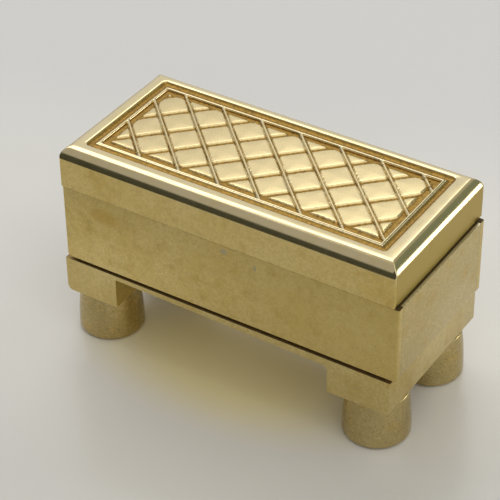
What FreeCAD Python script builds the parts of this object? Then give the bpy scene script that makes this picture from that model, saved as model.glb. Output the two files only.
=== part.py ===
import FreeCAD, Part
import math
import os
import re

import Sketcher
from FreeCAD import Placement, Rotation, Vector

# A small brass needle case. A box built of plates stands on a bridge-shaped base with four
# turned feet. Its hollow lid has a quilted panel and turns on a pin along the back edge.
#
# Frame: millimetres, +Z up, +X along the length, front at -Y. The origin is on the surface
# that the feet stand on, under the middle of the whole object. The lid, the box and the base
# were fitted by hand and are slightly out of line, so each has its own offset in the sheet.

SIZES = {
    # box
    "box_length": 55.0,
    "box_depth": 24.3,
    "box_height": 12.35,
    "box_wall": 1.1,
    "box_offset_x": 0.535,
    "box_offset_y": -0.41,
    "box_low_corner": 0.7,
    "box_corner": 0.25,
    "floor_thickness": 1.25,
    "fit_gap": 0.03,
    # base, the shadow gap above it, and its notch
    "base_length": 54.45,
    "base_depth": 25.1,
    "base_height": 5.82,
    "base_offset_x": -0.07,
    "base_offset_y": -0.13,
    "base_gap": 0.33,
    "base_block_left": 8.9,
    "base_block_right": 9.1,
    "band_left": 0.77,
    "band_right": 1.32,
    "base_corner_left": 0.9,
    "base_corner_right": 0.5,
    "notch_corner": 0.8,
    # feet
    "foot_height": 7.65,
    "foot_low_radius": 4.92,
    "foot_top_radius": 4.25,
    "foot_side_radius": 46.0,
    "foot_low_round": 0.7,
    "foot_top_round": 0.35,
    "foot_spacing_x": 45.86,
    "foot_spacing_y": 15.73,
    "feet_offset_x": -0.185,
    "feet_offset_y": 0.0,
    "tenon_radius": 1.6,
    # lid
    "lid_length": 54.6,
    "lid_depth": 24.8,
    "lid_height": 6.38,
    "lid_wall": 1.0,
    "lid_roof": 1.6,
    "lid_offset_x": 0.125,
    "lid_offset_y": -0.2,
    "lid_round": 1.75,
    "lid_low_round": 0.4,
    "seam": 0.22,
    # quilted panel in the top of the lid
    "panel_length": 48.6,
    "panel_depth": 19.9,
    "panel_sink": 0.45,
    "panel_offset_x": -0.2,
    "panel_offset_y": 0.35,
    "rib_inset": 1.1,
    "rib_width": 0.45,
    "rib_height": 0.38,
    "rib_round": 0.15,
    "field_inset": 2.3,
    "quilt_pitch": 6.6,
    "quilt_shift_x": 0.1,
    "quilt_shift_y": 1.87,
    "pillow_height": 0.42,
    "quilt_groove": 0.58,
    "cord_radius": 0.2,
    "cord_rise": 0.1,
    # liner strips inside the box, which stand up into the lid
    "liner_thickness": 0.5,
    "liner_length": 51.8,
    "liner_centre_x": 0.28,
    "liner_front_gap": 0.15,
    "liner_back_gap": 1.1,
    "liner_rise": 1.1,
    # hinge
    "hinge_length": 36.0,
    "hinge_out": 0.08,
    "knuckle_radius": 0.85,
    "knuckle_gap": 0.1,
    "leaf_thickness": 0.5,
    "leaf_height": 3.9,
    "pin_radius": 0.38,
    "pin_clearance": 0.04,
    "pin_extra": 0.3,
    "pin_bevel": 0.15,
    "hinge_clearance": 0.12,
    # rivets through the hinge leaves, and the screws between floor and base
    "rivet_radius": 0.4,
    "rivet_head_radius": 0.8,
    "rivet_head_height": 0.35,
    "rivet_spacing": 12.0,
    "screw_radius": 0.8,
    "screw_head_radius": 1.5,
    "screw_head_height": 0.7,
    "screw_length": 4.0,
    "screw_slot_width": 0.35,
    "screw_slot_depth": 0.35,
    "screw_spacing_y": 5.0,
}

NEAR = 1e-4  # two coordinates closer than this are the same
KNUCKLES = 5  # even ones belong to the box, odd ones to the lid
QUILT_LINES = 5  # grooves on each side of the middle one, in each direction

# heights above the surface, as formulas over the sheet
BASE_TOP = "foot_height + base_height"
BOX_BOTTOM = BASE_TOP + " + base_gap"
RIGHT_BLOCK = "base_length - base_block_right"
CURVE_X = RIGHT_BLOCK + " - notch_corner"
CURVE_Z = "base_height - band_right - notch_corner"
BOX_TOP = BOX_BOTTOM + " + box_height"
LID_BOTTOM = BOX_TOP + " + seam"
HINGE_Y = "box_offset_y + box_depth / 2 + hinge_out"
HINGE_Z = BOX_TOP + " + seam / 2"

doc = FreeCAD.newDocument("needle_case")
sheet = doc.addObject("Spreadsheet::Sheet", "Sizes")


def fill_sheet():
    """One row for each driving dimension: its name, and its value under that alias."""
    for row, (alias, value) in enumerate(SIZES.items(), start=1):
        sheet.set(f"A{row}", alias)
        sheet.set(f"B{row}", str(value))
        sheet.setAlias(f"B{row}", alias)
    doc.recompute()


# ---------------------------------------------------------------- formulas and placing


def formula(text):
    """The same formula with every alias addressed in the sheet."""
    return re.sub(r"\b(" + "|".join(SIZES) + r")\b", r"Sizes.\1", text)


def number(text):
    return float(sheet.evalExpression(formula(text)))


def bind(thing, formulas):
    """Bind each named property to a formula over the sheet."""
    for name, text in formulas.items():
        thing.setExpression(name, formula(text))


def place(thing, x="0", y="0", z="0", rotation=None):
    """Put a piece at a point given by formulas, turned if a rotation is given."""
    if rotation is not None:
        thing.Placement = Placement(Vector(), rotation)
    bind(thing, {"Placement.Base.x": x, "Placement.Base.y": y, "Placement.Base.z": z})


# ---------------------------------------------------------------- sketches and features


def new_body(label):
    body = doc.addObject("PartDesign::Body", label)
    body.Label = label
    return body


def new_sketch(body, name, plane, lift="0"):
    """A sketch on one of the body's own origin planes, lifted along the plane's normal."""
    sketch = body.newObject("Sketcher::SketchObject", name)
    origin_plane = [item for item in body.Origin.OriginFeatures if item.Role == plane][0]
    sketch.AttachmentSupport = [(origin_plane, "")]
    sketch.MapMode = "FlatFace"
    bind(sketch, {"AttachmentOffset.Base.z": lift})
    doc.recompute()
    return sketch


def hold(sketch, geometry, point, x, y):
    """Tie one point of a sketch to the sketch's origin at formula distances x and y."""
    for kind, text, axis in (("DistanceX", x, -2), ("DistanceY", y, -1)):
        if text == "0":
            sketch.addConstraint(Sketcher.Constraint("PointOnObject", geometry, point, axis))
            continue
        constraint = Sketcher.Constraint(kind, -1, 1, geometry, point, number(text))
        index = sketch.addConstraint(constraint)
        label = f"{kind}_{geometry}_{point}"
        sketch.renameConstraint(index, label)
        sketch.setExpression("Constraints." + label, formula(text))


def draw_outline(sketch, corners, arc_after=None, arc_radius=None):
    """A closed outline through corners given as formula pairs, anticlockwise.

    The side after corner number arc_after, if there is one, is an arc that bulges outward.
    """
    points = [Vector(number(x), number(y), 0) for x, y in corners]
    count = len(points)
    for i, start in enumerate(points):
        end = points[(i + 1) % count]
        if i == arc_after:
            chord = end - start
            radius = number(arc_radius)
            bulge = radius - math.sqrt(radius**2 - (chord.Length / 2) ** 2)
            outward = Vector(chord.y, -chord.x, 0).normalize()
            side = Part.Arc(start, (start + end) * 0.5 + outward * bulge, end)
        else:
            side = Part.LineSegment(start, end)
        sketch.addGeometry(side)
    for i, (x, y) in enumerate(corners):
        sketch.addConstraint(Sketcher.Constraint("Coincident", (i - 1) % count, 2, i, 1))
        hold(sketch, i, 1, x, y)
    if arc_after is not None:
        index = sketch.addConstraint(Sketcher.Constraint("Radius", arc_after, number(arc_radius)))
        sketch.renameConstraint(index, "side_radius")
        sketch.setExpression("Constraints.side_radius", formula(arc_radius))


def draw_centred_rectangle(sketch, width, height):
    """A rectangle about the sketch's origin, its width and height given by formulas."""
    half_x = number(width) / 2
    half_y = number(height) / 2
    corners = [(-half_x, -half_y), (half_x, -half_y), (half_x, half_y), (-half_x, half_y)]
    points = [Vector(x, y, 0) for x, y in corners]
    for i in range(4):
        sketch.addGeometry(Part.LineSegment(points[i], points[(i + 1) % 4]))
    for i in range(4):
        sketch.addConstraint(Sketcher.Constraint("Coincident", (i - 1) % 4, 2, i, 1))
        sketch.addConstraint(Sketcher.Constraint("Horizontal" if i % 2 == 0 else "Vertical", i))
    sketch.addConstraint(Sketcher.Constraint("Symmetric", 0, 1, 2, 1, -1, 1))
    wide = sketch.addConstraint(Sketcher.Constraint("DistanceX", 0, 1, 0, 2, 2 * half_x))
    tall = sketch.addConstraint(Sketcher.Constraint("DistanceY", 1, 1, 1, 2, 2 * half_y))
    for index, label, text in ((wide, "wide", width), (tall, "tall", height)):
        sketch.renameConstraint(index, label)
        sketch.setExpression("Constraints." + label, formula(text))


def pad(body, sketch, length, both_ways=False):
    feature = body.newObject("PartDesign::Pad", sketch.Name + "_pad")
    feature.Profile = sketch
    feature.SideType = "Symmetric" if both_ways else "One side"
    bind(feature, {"Length": length})
    doc.recompute()


def turn(body, sketch):
    """A full turn of a half profile about the sketch's vertical axis."""
    feature = body.newObject("PartDesign::Revolution", sketch.Name + "_turned")
    feature.Profile = sketch
    feature.ReferenceAxis = (sketch, ["V_Axis"])
    feature.Angle = 360
    doc.recompute()


def pocket(body, sketch, depth, upward=False):
    """Cut a sketch's outline into the body and make sure that metal was removed."""
    before = body.Shape.Volume
    feature = body.newObject("PartDesign::Pocket", sketch.Name + "_pocket")
    feature.Profile = sketch
    feature.Reversed = upward
    bind(feature, {"Length": depth})
    doc.recompute()
    if body.Shape.Volume > before - NEAR:
        raise RuntimeError(sketch.Name + " cuts nothing")


def cut_box(body, name, length, width, height, x, y, z):
    """Cut a box from a body. Its sizes and lowest corner are formulas in the body's frame."""
    before = body.Shape.Volume
    tool = body.newObject("PartDesign::SubtractiveBox", name)
    bind(tool, {"Length": length, "Width": width, "Height": height})
    place(tool, x, y, z)
    doc.recompute()
    if body.Shape.Volume > before - NEAR:
        raise RuntimeError(name + " cuts nothing")


def cut_round(body, name, radius, height, x, y, z, rotation=None):
    """Cut a round hole from a body."""
    before = body.Shape.Volume
    tool = body.newObject("PartDesign::SubtractiveCylinder", name)
    bind(tool, {"Radius": radius, "Height": height})
    place(tool, x, y, z, rotation)
    doc.recompute()
    if body.Shape.Volume > before - NEAR:
        raise RuntimeError(name + " cuts nothing")


def round_edges(body, name, radius, chosen):
    """Fillet the edges of the body's last feature that the test picks."""
    base = body.Tip
    names = [f"Edge{i}" for i, edge in enumerate(base.Shape.Edges, start=1) if chosen(edge)]
    feature = body.newObject("PartDesign::Fillet", name)
    feature.Base = (base, names)
    bind(feature, {"Radius": radius})
    doc.recompute()


def at_height(level):
    """A test for edges that lie flat at one height of the body's own frame."""
    return lambda edge: all(abs(vertex.Z - level) < NEAR for vertex in edge.Vertexes)


def along_y_at(x, z):
    """A test for edges that run along Y through one point of the X-Z plane."""
    return lambda edge: all(
        abs(vertex.X - x) < NEAR and abs(vertex.Z - z) < NEAR for vertex in edge.Vertexes
    )


# ---------------------------------------------------------------- primitives

ALONG_X = Rotation(Vector(0, 1, 0), 90)
TO_BACK = Rotation(Vector(1, 0, 0), -90)  # turns +Z to +Y
TO_FRONT = Rotation(Vector(1, 0, 0), 90)  # turns +Z to -Y


def new_box(name, length, width, height, x, y, z):
    solid = doc.addObject("Part::Box", name)
    bind(solid, {"Length": length, "Width": width, "Height": height})
    place(solid, x, y, z)
    return solid


def new_cylinder(name, radius, height, x, y, z, rotation=None):
    solid = doc.addObject("Part::Cylinder", name)
    bind(solid, {"Radius": radius, "Height": height})
    place(solid, x, y, z, rotation)
    return solid


def fuse(name, shapes):
    joined = doc.addObject("Part::MultiFuse", name)
    joined.Shapes = shapes
    joined.Label = name
    return joined


def cut(name, base, tool):
    result = doc.addObject("Part::Cut", name)
    result.Base = base
    result.Tool = tool
    result.Label = name
    return result


def common(name, first, second):
    result = doc.addObject("Part::Common", name)
    result.Base = first
    result.Tool = second
    return result


def group(name, members):
    """Identical loose pieces as one sub-part."""
    together = doc.addObject("Part::Compound", name)
    together.Links = members
    together.Label = name
    return together


# ---------------------------------------------------------------- the feet and the base


def make_foot(label, side_x, side_y):
    """A turned foot: a bell that is nearly a cylinder, with a tenon on top."""
    body = new_body(label)
    profile = new_sketch(body, label + "_profile", "XZ_Plane")
    corners = [
        ("0", "0"),
        ("foot_low_radius", "0"),
        ("foot_top_radius", "foot_height"),
        ("tenon_radius", "foot_height"),
        ("tenon_radius", "foot_height + base_height - fit_gap"),
        ("0", "foot_height + base_height - fit_gap"),
    ]
    draw_outline(profile, corners, arc_after=1, arc_radius="foot_side_radius")
    turn(body, profile)
    low_radius = number("foot_low_radius")
    top_radius = number("foot_top_radius")
    shoulder = number("foot_height")
    round_edges(
        body,
        label + "_low_round",
        "foot_low_round",
        lambda edge: at_height(0)(edge) and abs(edge.BoundBox.XMax - low_radius) < NEAR,
    )
    round_edges(
        body,
        label + "_top_round",
        "foot_top_round",
        lambda edge: at_height(shoulder)(edge) and abs(edge.BoundBox.XMax - top_radius) < NEAR,
    )
    x = f"feet_offset_x + {side_x} * foot_spacing_x / 2"
    y = f"feet_offset_y + {side_y} * foot_spacing_y / 2"
    place(body, x, y)
    return body


def place_base(body):
    """The three pieces of the base are drawn from the left end of its underside."""
    place(body, "base_offset_x - base_length / 2", "base_offset_y", "foot_height")
    return body


def make_base_block(label, side_x):
    """An end block of the base, bored for the tenons of two feet and for two screws.

    The right one meets the underside of the band in a small hollow curve.
    """
    body = new_body(label)
    outline = new_sketch(body, label + "_outline", "XZ_Plane")
    if side_x < 0:
        end, corner = "0", "base_corner_left"
        corners = [
            ("0", "0"),
            ("base_block_left", "0"),
            ("base_block_left", "base_height"),
            ("0", "base_height"),
        ]
    else:
        end, corner = "base_length", "base_corner_right"
        corners = [
            (RIGHT_BLOCK, "0"),
            ("base_length", "0"),
            ("base_length", "base_height"),
            (RIGHT_BLOCK, "base_height"),
            (RIGHT_BLOCK, "base_height - band_right"),
            (CURVE_X, "base_height - band_right"),
            (RIGHT_BLOCK, CURVE_Z),
        ]
    draw_outline(outline, corners)
    pad(body, outline, "base_depth", both_ways=True)
    round_edges(body, label + "_round", corner, along_y_at(number(end), 0))
    if side_x > 0:
        start_y = "-base_depth / 2"
        cut_round(
            body, "notch_curve", "notch_corner", "base_depth", CURVE_X, start_y, CURVE_Z, TO_BACK
        )
    foot_x = f"feet_offset_x - base_offset_x + {side_x} * foot_spacing_x / 2 + base_length / 2"
    depth = "screw_length - floor_thickness + fit_gap"
    screw_z = f"base_height - ({depth})"
    for tag, side_y in (("front", -1), ("back", 1)):
        foot_y = f"feet_offset_y - base_offset_y + {side_y} * foot_spacing_y / 2"
        screw_y = f"{side_y} * screw_spacing_y / 2"
        hole = "tenon_radius + fit_gap"
        cut_round(body, f"{label}_{tag}_tenon_hole", hole, "base_height", foot_x, foot_y, "0")
        hole = "screw_radius + fit_gap"
        cut_round(body, f"{label}_{tag}_screw_hole", hole, depth, foot_x, screw_y, screw_z)
    return place_base(body)


def make_base_band():
    """The thin band that bridges the two blocks and thickens a little to the right."""
    body = new_body("base_band")
    outline = new_sketch(body, "base_band_outline", "XZ_Plane")
    corners = [
        ("base_block_left", "base_height - band_left"),
        (RIGHT_BLOCK, "base_height - band_right"),
        (RIGHT_BLOCK, "base_height"),
        ("base_block_left", "base_height"),
    ]
    draw_outline(outline, corners)
    pad(body, outline, "base_depth", both_ways=True)
    return place_base(body)


# ---------------------------------------------------------------- the box


def make_long_wall(label, side_y):
    """The front or back plate, over the full length, with its lower corners rounded."""
    body = new_body(label)
    face = new_sketch(body, label + "_face", "XZ_Plane")
    corners = [
        ("0", "0"),
        ("box_length", "0"),
        ("box_length", "box_height"),
        ("0", "box_height"),
    ]
    draw_outline(face, corners)
    pad(body, face, "box_wall", both_ways=True)
    length = number("box_length")
    for tag, x in (("left", 0), ("right", length)):
        round_edges(body, f"{label}_{tag}_low", "box_low_corner", along_y_at(x, 0))
    outer = side_y * number("box_wall") / 2

    def is_outer_corner(edge):
        upright = abs(edge.BoundBox.ZLength) > edge.BoundBox.XLength + NEAR
        return upright and all(abs(vertex.Y - outer) < NEAR for vertex in edge.Vertexes)

    round_edges(body, label + "_corners", "box_corner", is_outer_corner)
    y = f"box_offset_y + {side_y} * (box_depth - box_wall) / 2"
    place(body, "box_offset_x - box_length / 2", y, BOX_BOTTOM)
    return body


def make_back_wall():
    """The back plate, with a rebate for the hinge leaf and a hollow for the barrel."""
    body = make_long_wall("back_wall", 1)
    middle = "box_length / 2"
    outer = "box_wall / 2"
    cut_box(
        body,
        "leaf_rebate",
        "hinge_length + 2 * fit_gap",
        "leaf_thickness + 1",
        "leaf_height + 1",
        middle + " - hinge_length / 2 - fit_gap",
        outer + " - leaf_thickness",
        "box_height - leaf_height",
    )
    barrel_y = outer + " + hinge_out"
    cut_round(
        body,
        "barrel_hollow",
        "knuckle_radius + hinge_clearance",
        "hinge_length + 4 * hinge_clearance",
        middle + " - hinge_length / 2 - 2 * hinge_clearance",
        barrel_y,
        "box_height + seam / 2",
        ALONG_X,
    )
    for step in (-1, 0, 1):
        cut_round(
            body,
            f"rivet_hole_{step + 1}",
            "rivet_radius + fit_gap",
            "box_wall + 2",
            f"{middle} + {step} * rivet_spacing",
            "-box_wall / 2 - 1",
            "box_height - leaf_height / 2 - knuckle_radius / 2",
            TO_BACK,
        )
    return body


def make_end_wall(label, side_x):
    """An end plate, held between the long plates, with its lower outer edge rounded."""
    body = new_body(label)
    face = new_sketch(body, label + "_face", "XZ_Plane")
    corners = [("0", "0"), ("box_wall", "0"), ("box_wall", "box_height"), ("0", "box_height")]
    draw_outline(face, corners)
    pad(body, face, "box_depth - 2 * box_wall - 2 * fit_gap", both_ways=True)
    outer_x = number("box_wall") if side_x > 0 else 0
    round_edges(body, label + "_low", "box_low_corner", along_y_at(outer_x, 0))
    x = f"box_offset_x + {side_x} * (box_length - box_wall) / 2 - box_wall / 2"
    place(body, x, "box_offset_y", BOX_BOTTOM)
    return body


def make_floor():
    """The floor stands on the base and below the walls, with four countersunk holes."""
    body = new_body("floor_plate")
    face = new_sketch(body, "floor_face", "XY_Plane")
    draw_centred_rectangle(
        face,
        "box_length - 2 * box_wall - 2 * fit_gap",
        "box_depth - 2 * box_wall - 2 * fit_gap",
    )
    pad(body, face, "floor_thickness")
    for side_x in (-1, 1):
        for side_y in (-1, 1):
            tag = f"{'left' if side_x < 0 else 'right'}_{'front' if side_y < 0 else 'back'}"
            x = f"feet_offset_x - box_offset_x + {side_x} * foot_spacing_x / 2"
            y = f"base_offset_y - box_offset_y + {side_y} * screw_spacing_y / 2"
            hole = "screw_radius + fit_gap"
            cut_round(body, "floor_hole_" + tag, hole, "floor_thickness", x, y, "0")
            sink = body.newObject("PartDesign::SubtractiveCone", "countersink_" + tag)
            bind(
                sink,
                {
                    "Radius1": "screw_radius + fit_gap",
                    "Radius2": "screw_head_radius + fit_gap",
                    "Height": "screw_head_height",
                },
            )
            place(sink, x, y, "floor_thickness - screw_head_height")
            doc.recompute()
    place(body, "box_offset_x", "box_offset_y", BASE_TOP)
    return body


def make_floor_screws():
    """Four slotted countersunk screws, floor plate to base blocks."""
    screws = []
    floor_top = BASE_TOP + " + floor_thickness"
    for side_x in (-1, 1):
        for side_y in (-1, 1):
            tag = f"{len(screws) + 1}"
            x = f"feet_offset_x + {side_x} * foot_spacing_x / 2"
            y = f"base_offset_y + {side_y} * screw_spacing_y / 2"
            shank = new_cylinder(
                "screw_shank_" + tag,
                "screw_radius",
                "screw_length",
                x,
                y,
                floor_top + " - screw_length",
            )
            head = doc.addObject("Part::Cone", "screw_head_" + tag)
            bind(
                head,
                {
                    "Radius1": "screw_radius",
                    "Radius2": "screw_head_radius",
                    "Height": "screw_head_height",
                },
            )
            place(head, x, y, floor_top + " - screw_head_height")
            slot = new_box(
                "screw_slot_" + tag,
                "4 * screw_head_radius",
                "screw_slot_width",
                "2 * screw_slot_depth",
                x + " - 2 * screw_head_radius",
                y + " - screw_slot_width / 2",
                floor_top + " - screw_slot_depth",
            )
            blank = fuse("screw_blank_" + tag, [shank, head])
            screws.append(cut("screw_" + tag, blank, slot))
    return group("floor_screws", screws)


def make_liner():
    """Three strips that line the front and the ends and stand up into the lid."""
    bottom = BASE_TOP + " + floor_thickness"
    height = "base_gap + box_height + liner_rise - floor_thickness"
    left_x = "liner_centre_x - liner_length / 2"
    front_y = "box_offset_y - box_depth / 2 + box_wall + liner_front_gap"
    end_y = front_y + " + liner_thickness"
    end_length = (
        "box_depth - 2 * box_wall - liner_front_gap - liner_thickness - liner_back_gap"
    )
    front = new_box(
        "liner_front", "liner_length", "liner_thickness", height, left_x, front_y, bottom
    )
    left = new_box("liner_left", "liner_thickness", end_length, height, left_x, end_y, bottom)
    right_x = "liner_centre_x + liner_length / 2 - liner_thickness"
    right = new_box("liner_right", "liner_thickness", end_length, height, right_x, end_y, bottom)
    return [front, left, right]


# ---------------------------------------------------------------- the hinge


def make_leaf(label, knuckles, plate_y, plate_z):
    """A hinge leaf about the hinge axis: a plate and its share of the knuckles."""
    pitch = "hinge_length / " + str(KNUCKLES)
    parts = [
        new_box(
            label + "_plate",
            "hinge_length",
            "leaf_thickness",
            "leaf_height",
            "-hinge_length / 2",
            plate_y,
            plate_z,
        )
    ]
    gaps = []
    for i in range(KNUCKLES):
        start = f"-hinge_length / 2 + {i} * {pitch}"
        if i in knuckles:
            name = f"{label}_knuckle_{i}"
            first = start + " + knuckle_gap / 2"
            length = pitch + " - knuckle_gap"
            parts.append(new_cylinder(name, "knuckle_radius", length, first, "0", "0", ALONG_X))
        else:
            name = f"{label}_gap_{i}"
            first = start + " - knuckle_gap / 2"
            length = pitch + " + knuckle_gap"
            room = "knuckle_radius + hinge_clearance"
            gaps.append(new_cylinder(name, room, length, first, "0", "0", ALONG_X))
    solid = fuse(label + "_solid", parts)
    bore = new_cylinder(
        label + "_bore",
        "pin_radius + pin_clearance",
        "hinge_length + 2",
        "-hinge_length / 2 - 1",
        "0",
        "0",
        ALONG_X,
    )
    holes = []
    side = -1 if label.startswith("body") else 1
    for step in (-1, 0, 1):
        holes.append(
            new_cylinder(
                f"{label}_hole_{step + 1}",
                "rivet_radius + fit_gap",
                "leaf_thickness + 2",
                f"{step} * rivet_spacing",
                plate_y + " - 1",
                f"{side} * (seam / 2 + leaf_height / 2 + knuckle_radius / 2)",
                TO_BACK,
            )
        )
    tools = fuse(label + "_tools", gaps + [bore] + holes)
    leaf = cut(label, solid, tools)
    place(leaf, "box_offset_x", HINGE_Y, HINGE_Z)
    return leaf


def make_pin():
    """The hinge pin, a turned rod with both ends bevelled."""
    body = new_body("hinge_pin")
    profile = new_sketch(body, "pin_profile", "XZ_Plane")
    length = "hinge_length + 2 * pin_extra"
    corners = [
        ("0", "0"),
        ("pin_radius - pin_bevel", "0"),
        ("pin_radius", "pin_bevel"),
        ("pin_radius", length + " - pin_bevel"),
        ("pin_radius - pin_bevel", length),
        ("0", length),
    ]
    draw_outline(profile, corners)
    turn(body, profile)
    place(body, f"box_offset_x - ({length}) / 2", HINGE_Y, HINGE_Z, ALONG_X)
    return body


def make_rivets(label, outer_y, inner_y, z):
    """Three rivets through a leaf and a wall, flush outside and domed inside."""
    rivets = []
    for step in (-1, 0, 1):
        x = f"box_offset_x + {step} * rivet_spacing"
        shank = new_cylinder(
            f"{label}_shank_{step + 1}",
            "rivet_radius",
            f"({outer_y}) - ({inner_y})",
            x,
            outer_y,
            z,
            TO_FRONT,
        )
        head = doc.addObject("Part::Ellipsoid", f"{label}_head_{step + 1}")
        head.Angle1 = 0
        head.Angle2 = 90
        bind(
            head,
            {
                "Radius1": "rivet_head_height",
                "Radius2": "rivet_head_radius",
                "Radius3": "rivet_head_radius",
            },
        )
        place(head, x, inner_y, z, TO_FRONT)
        rivets.append(fuse(f"{label}_{step + 1}", [shank, head]))
    return group(label, rivets)


# ---------------------------------------------------------------- the lid


def make_lid_shell():
    """The plain lid: rounded above, hollow below, sunk for the panel, cut for the hinge."""
    body = new_body("lid_shell")
    plan = new_sketch(body, "lid_plan", "XY_Plane")
    draw_centred_rectangle(plan, "lid_length", "lid_depth")
    pad(body, plan, "lid_height")
    round_edges(body, "lid_top_round", "lid_round", at_height(number("lid_height")))
    round_edges(body, "lid_bottom_round", "lid_low_round", at_height(0))
    hollow = new_sketch(body, "lid_hollow", "XY_Plane")
    draw_centred_rectangle(hollow, "lid_length - 2 * lid_wall", "lid_depth - 2 * lid_wall")
    pocket(body, hollow, "lid_height - lid_roof", upward=True)
    recess = new_sketch(body, "panel_recess", "XY_Plane", lift="lid_height")
    draw_centred_rectangle(recess, "panel_length", "panel_depth")
    offset = {"x": "panel_offset_x", "y": "panel_offset_y"}
    bind(recess, {f"AttachmentOffset.Base.{axis}": text for axis, text in offset.items()})
    doc.recompute()
    pocket(body, recess, "panel_sink")

    middle = "box_offset_x - lid_offset_x"
    back = "lid_depth / 2"
    cut_box(
        body,
        "lid_leaf_rebate",
        "hinge_length + 2 * fit_gap",
        "leaf_thickness + 1",
        "leaf_height + 1",
        middle + " - hinge_length / 2 - fit_gap",
        back + " - leaf_thickness",
        "-1",
    )
    cut_round(
        body,
        "lid_barrel_hollow",
        "knuckle_radius + hinge_clearance",
        "hinge_length + 4 * hinge_clearance",
        middle + " - hinge_length / 2 - 2 * hinge_clearance",
        HINGE_Y + " - lid_offset_y",
        "-seam / 2",
        ALONG_X,
    )
    for step in (-1, 0, 1):
        cut_round(
            body,
            f"lid_rivet_hole_{step + 1}",
            "rivet_radius + fit_gap",
            "lid_wall + 2",
            f"{middle} + {step} * rivet_spacing",
            back + " - lid_wall - 1",
            "leaf_height / 2 + knuckle_radius / 2",
            TO_BACK,
        )
    return body


def make_border_rib():
    """The narrow raised line round the quilting."""
    level = "lid_height - panel_sink"
    boxes = []
    for name, inset in (("rib_outside", "rib_inset"), ("rib_inside", "rib_inset + rib_width")):
        length = f"panel_length - 2 * ({inset})"
        width = f"panel_depth - 2 * ({inset})"
        x = f"panel_offset_x - ({length}) / 2"
        y = f"panel_offset_y - ({width}) / 2"
        boxes.append(new_box(name, length, width, "rib_height", x, y, level))
    ring = cut("rib_ring", boxes[0], boxes[1])
    doc.recompute()
    top = number(level + " + rib_height")
    rib = doc.addObject("Part::Fillet", "border_rib")
    rib.Base = ring
    radius = number("rib_round")
    chosen = [i for i, edge in enumerate(ring.Shape.Edges, start=1) if at_height(top)(edge)]
    rib.Edges = [(i, radius, radius) for i in chosen]
    return rib


def make_quilting():
    """Pillows between crossed V grooves, and the thin cords that lie in the grooves."""
    floor = "lid_height - panel_sink"
    length = "panel_length - 2 * field_inset"
    width = "panel_depth - 2 * field_inset"
    x = f"panel_offset_x - ({length}) / 2"
    y = f"panel_offset_y - ({width}) / 2"
    plate = new_box("quilt_plate", length, width, "pillow_height", x, y, floor)
    field = new_box("cord_field", length, width, "panel_sink", x, y, floor)
    reach = number("panel_length")
    bars = []
    cords = []
    for slope in (-1, 1):
        turn = Rotation(Vector(0, 0, 1), 45 * slope)
        along = turn.multVec(Vector(1, 0, 0))
        for line in range(-QUILT_LINES, QUILT_LINES + 1):
            tag = f"{'down' if slope < 0 else 'up'}_{line + QUILT_LINES}"
            middle_x = f"panel_offset_x + quilt_shift_x + {line} * quilt_pitch"
            start_x = f"{middle_x} - {reach * along.x / 2}"
            start_y = f"panel_offset_y + quilt_shift_y - {reach * along.y / 2}"
            groove_z = floor + " + pillow_height - quilt_groove * sqrt(2) / 2"
            bar = new_box(
                "groove_" + tag,
                str(reach),
                "quilt_groove",
                "quilt_groove",
                start_x,
                start_y,
                groove_z,
            )
            on_edge = turn.multiply(Rotation(Vector(1, 0, 0), 45))
            place(bar, start_x, start_y, groove_z, on_edge)
            bars.append(bar)
            cord = new_cylinder("cord_" + tag, "cord_radius", str(reach), start_x, start_y, "0")
            lying = turn.multiply(ALONG_X)
            place(cord, start_x, start_y, floor + " + cord_rise", lying)
            cords.append(cord)
    pillows = cut("quilt_pillows", plate, fuse("quilt_grooves", bars))
    net = common("quilt_net", fuse("quilt_cords", cords), field)
    return [pillows, net]


def make_lid():
    """The lid as one casting: the shell, the border rib and the quilting."""
    shell = make_lid_shell()
    lid = fuse("lid_casting", [shell, make_border_rib()] + make_quilting())
    place(lid, "lid_offset_x", "lid_offset_y", LID_BOTTOM)
    return lid


# ---------------------------------------------------------------- the whole object


def make_all():
    """Every sub-part, in the order in which the case would be put together."""
    sub_parts = []
    for end, side_x in (("left", -1), ("right", 1)):
        for face, side_y in (("front", -1), ("back", 1)):
            sub_parts.append(make_foot(f"foot_{face}_{end}", side_x, side_y))
    sub_parts.append(make_base_block("base_block_left", -1))
    sub_parts.append(make_base_block("base_block_right", 1))
    sub_parts.append(make_base_band())
    sub_parts.append(make_floor())
    sub_parts.append(make_floor_screws())
    sub_parts.append(make_long_wall("front_wall", -1))
    sub_parts.append(make_back_wall())
    sub_parts.append(make_end_wall("left_end_wall", -1))
    sub_parts.append(make_end_wall("right_end_wall", 1))
    sub_parts += make_liner()

    leaf_outer = "lid_offset_y + lid_depth / 2"
    lid_plate_y = f"{leaf_outer} - leaf_thickness - ({HINGE_Y})"
    body_plate_y = "-hinge_out - leaf_thickness"
    sub_parts.append(
        make_leaf("body_hinge_leaf", (0, 2, 4), body_plate_y, "-seam / 2 - leaf_height")
    )
    sub_parts.append(make_leaf("lid_hinge_leaf", (1, 3), lid_plate_y, "seam / 2"))
    sub_parts.append(make_pin())
    rivet_drop = "seam / 2 + leaf_height / 2 + knuckle_radius / 2"
    box_back = "box_offset_y + box_depth / 2"
    sub_parts.append(
        make_rivets(
            "body_leaf_rivets", box_back, box_back + " - box_wall", f"{HINGE_Z} - ({rivet_drop})"
        )
    )
    sub_parts.append(
        make_rivets(
            "lid_leaf_rivets",
            leaf_outer,
            leaf_outer + " - lid_wall",
            f"{HINGE_Z} + {rivet_drop}",
        )
    )
    sub_parts.append(make_lid())
    return sub_parts


def check_document():
    """Stop if any object of the document failed to build."""
    for item in doc.Objects:
        if "Invalid" in item.State or "Error" in item.State:
            raise RuntimeError(f"{item.Name} failed: {item.State}")


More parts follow.
